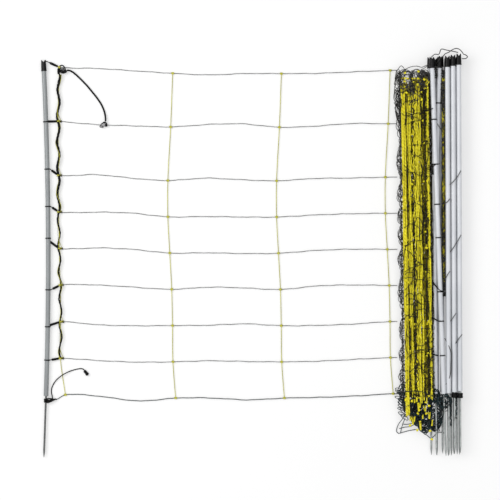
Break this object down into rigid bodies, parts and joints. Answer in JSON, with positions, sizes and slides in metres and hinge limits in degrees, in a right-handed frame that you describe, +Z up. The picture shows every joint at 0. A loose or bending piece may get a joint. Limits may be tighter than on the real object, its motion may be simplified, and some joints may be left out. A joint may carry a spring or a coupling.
{
  "type": "electric sheep netting",
  "caption": "Electric fence netting laid flat: a stretched net panel with its end post, and the rest of the net and its posts gathered at one side.",
  "frame": {"origin": "under the middle of the whole, on the floor that the netting lies on", "axes": "+X along the lines, from the end post to the pile of posts; +Y from the bottom line to the top line; +Z up off the floor"},
  "size_m": [1.16, 1.1126, 0.0431],
  "materials": {
    "line_wire": "twisted black strand with bright wire in it",
    "bottom_line_wire": "twisted green-black strand",
    "upright_strand": "bright yellow strand, satin",
    "post_tube": "pale grey-white, satin",
    "black_plastic": "black moulded plastic, satin",
    "cable_sheath": "black sheath, satin",
    "spike_steel": "galvanised, dull"
  },
  "bodies": {
    "root": {"line_1": "line_wire", "line_2": "line_wire", "line_3": "line_wire", "line_4": "line_wire", "line_5": "line_wire", "line_6": "line_wire", "line_7": "line_wire", "line_8": "line_wire", "line_9": "bottom_line_wire", "upright_1": "upright_strand", "upright_2": "upright_strand", "upright_3": "upright_strand", "upright_4": "upright_strand", "end_post_tube": "post_tube", "end_post_cap": "black_plastic", "end_post_spike": "spike_steel", "post_1_tube": "post_tube", "post_1_cap": "black_plastic", "post_1_spike": "spike_steel", "post_2_tube": "post_tube", "post_2_cap": "black_plastic", "post_2_spike": "spike_steel", "post_3_tube": "post_tube", "post_3_cap": "black_plastic", "post_3_spike": "spike_steel", "post_4_tube": "post_tube", "post_4_cap": "black_plastic", "post_4_spike": "spike_steel", "post_5_tube": "post_tube", "post_5_cap": "black_plastic", "post_5_spike": "spike_steel", "line_clip_2": "black_plastic", "line_clip_3": "black_plastic", "line_clip_4": "black_plastic", "line_clip_5": "black_plastic", "line_clip_6": "black_plastic", "line_clip_7": "black_plastic", "line_clip_8": "black_plastic", "corner_tie": "black_plastic", "foot_tie": "black_plastic", "corner_connector": "black_plastic", "link_cable": "cable_sheath", "top_lead": "cable_sheath", "top_lead_clip": "black_plastic", "bottom_lead": "cable_sheath", "bottom_lead_plug": "black_plastic", "gathered_uprights_1": "upright_strand", "gathered_uprights_2": "upright_strand", "gathered_uprights_3": "upright_strand", "gathered_line_loops": "line_wire", "bottom_line_tangle": "bottom_line_wire", "under_post_1": "post_tube", "under_post_2": "post_tube", "under_post_3": "post_tube", "under_post_4": "post_tube", "under_post_5": "post_tube", "under_post_6": "post_tube", "under_post_7": "post_tube", "under_post_8": "post_tube"}
  },
  "joints": []
}
